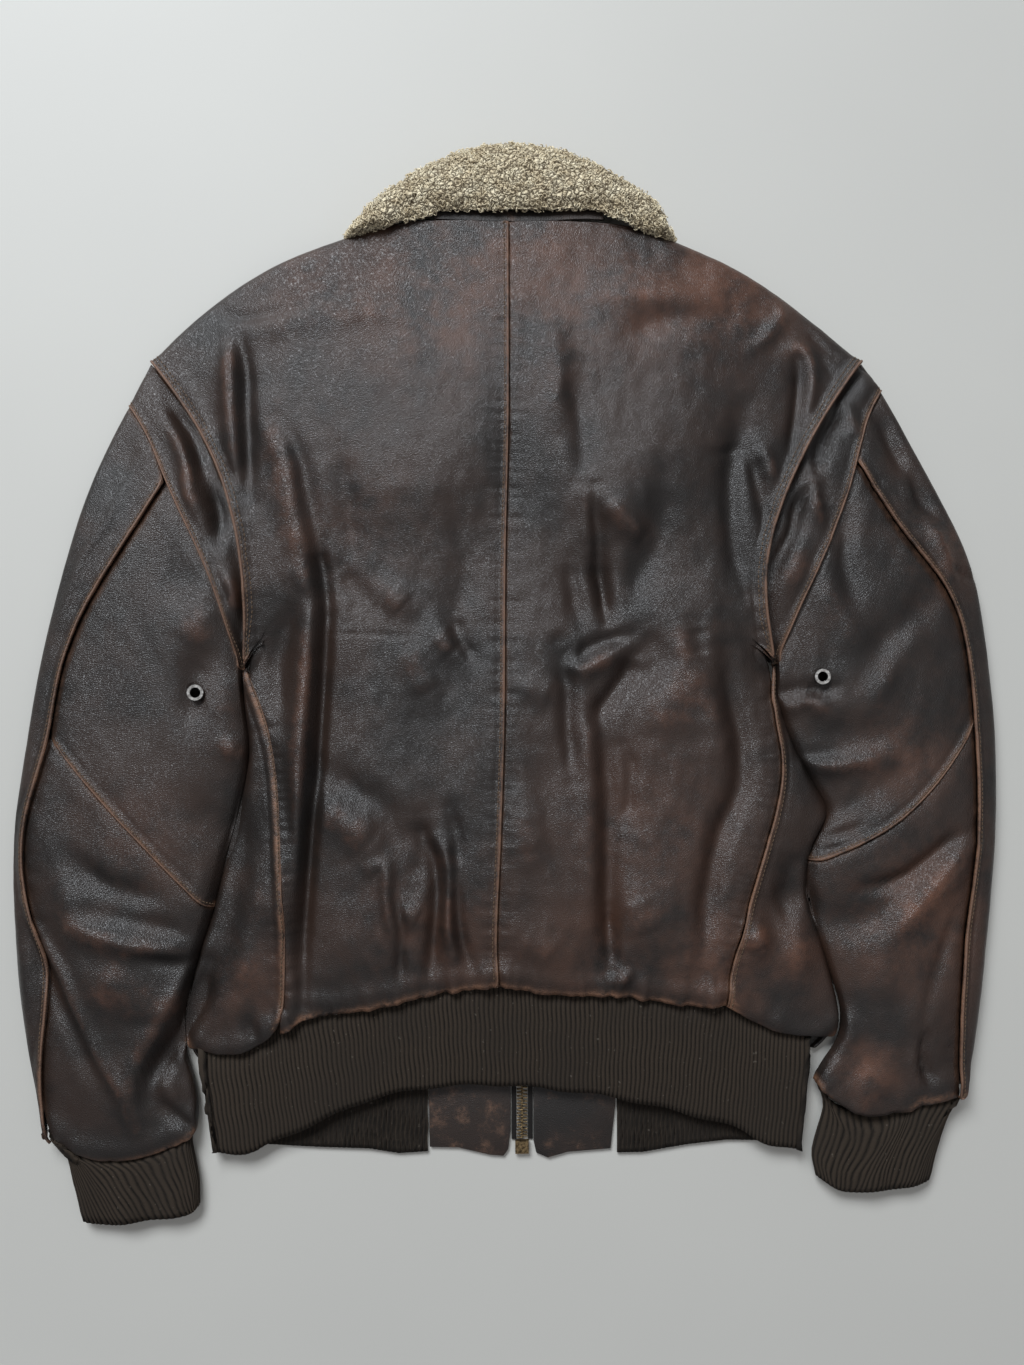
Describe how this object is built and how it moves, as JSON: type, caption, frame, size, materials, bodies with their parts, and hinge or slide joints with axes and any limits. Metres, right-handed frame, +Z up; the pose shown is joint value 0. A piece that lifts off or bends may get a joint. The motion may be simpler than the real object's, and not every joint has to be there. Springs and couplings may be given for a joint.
{
  "type": "worn leather flight jacket, laid flat, back up",
  "caption": "Worn dark-brown leather jacket lying face down: fur collar, two-piece back, seamed sleeves with eyelets, ribbed cuffs and waistband, closed front zip.",
  "frame": {"origin": "centre of the laid jacket's outline, on the surface it rests on", "axes": "+Y from the hem towards the collar, +X towards the sleeve on the right as seen from above, +Z up from the surface; the back is on top"},
  "size_m": [0.7486, 0.812, 0.047],
  "materials": {
    "worn_leather": "soft satin, darkened, rubbed reddish brown on the raised parts and tan along the seam edges",
    "rib_knit": "matt ribbed wool knit with a few pale lint fibres",
    "shearling": "matt curled sheepskin pile",
    "zip_tape": "matt woven tape",
    "zip_metal": "antique brass, dulled",
    "eyelet_metal": "satin, lightly worn"
  },
  "bodies": {
    "jacket": {"back_left": "worn_leather", "back_right": "worn_leather", "side_left": "worn_leather", "side_right": "worn_leather", "front_left": "worn_leather", "front_right": "worn_leather", "sleeve_cap_left": "worn_leather", "sleeve_upper_left": "worn_leather", "sleeve_forearm_left": "worn_leather", "sleeve_outer_left": "worn_leather", "sleeve_under_left": "worn_leather", "sleeve_cap_right": "worn_leather", "sleeve_upper_right": "worn_leather", "sleeve_forearm_right": "worn_leather", "sleeve_outer_right": "worn_leather", "sleeve_under_right": "worn_leather", "cuff_left": "rib_knit", "cuff_right": "rib_knit", "waistband": "rib_knit", "collar_fall": "shearling", "collar_stand": "worn_leather", "hem_tab_left": "worn_leather", "hem_tab_right": "worn_leather", "zip_tape_left": "zip_tape", "zip_tape_right": "zip_tape", "zip_chain": "zip_metal", "zip_box": "zip_metal", "zip_slider": "zip_metal", "eyelet_left": "eyelet_metal", "eyelet_right": "eyelet_metal"},
    "pull": {"zip_pull": "zip_metal"}
  },
  "joints": [
    {"name": "pull_swing", "type": "hinge", "parent": "jacket", "child": "pull", "pos_m": [0.0043, 0.2535, 0.0046], "axis": [1, 0, 0], "range_deg": [0, 170]}
  ]
}
